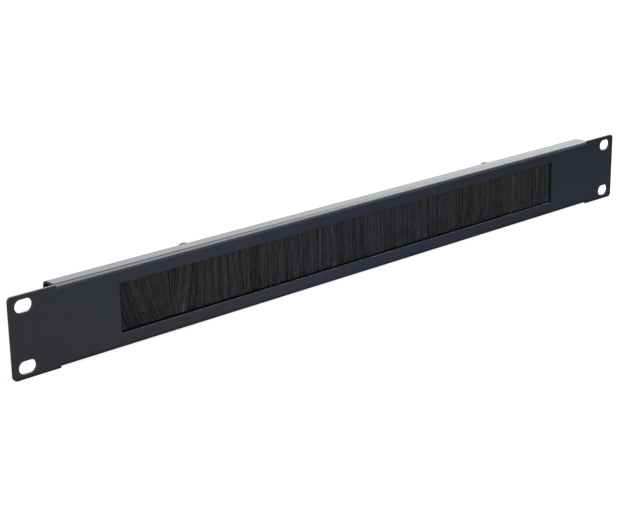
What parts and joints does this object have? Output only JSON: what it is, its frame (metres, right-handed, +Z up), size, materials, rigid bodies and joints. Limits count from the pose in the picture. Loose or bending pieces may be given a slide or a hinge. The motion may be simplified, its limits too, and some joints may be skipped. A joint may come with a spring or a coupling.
{
  "type": "rack brush strip panel",
  "caption": "Rack-width cable entry panel: a folded steel sheet with slotted ears and a long window closed by a hanging strip of bristles.",
  "frame": {"origin": "the middle of the four rack slots, on the panel's front face", "axes": "+X along the panel to the viewer's right, +Y back into the rack, +Z up"},
  "size_m": [0.4826, 0.015, 0.0434],
  "materials": {
    "panel_powder_coat": "fine satin black powder coat",
    "bar_aluminium": "plain extruded",
    "channel_steel": "galvanised strip",
    "wire_steel": "drawn wire",
    "bristle_nylon": "black filaments",
    "screw_zinc": "zinc plated"
  },
  "bodies": {
    "root": {"front_panel": "panel_powder_coat", "holder_bar": "bar_aluminium", "brush_channel": "channel_steel", "core_wire": "wire_steel", "bristles": "bristle_nylon", "screw_left": "screw_zinc", "screw_right": "screw_zinc"}
  },
  "joints": []
}
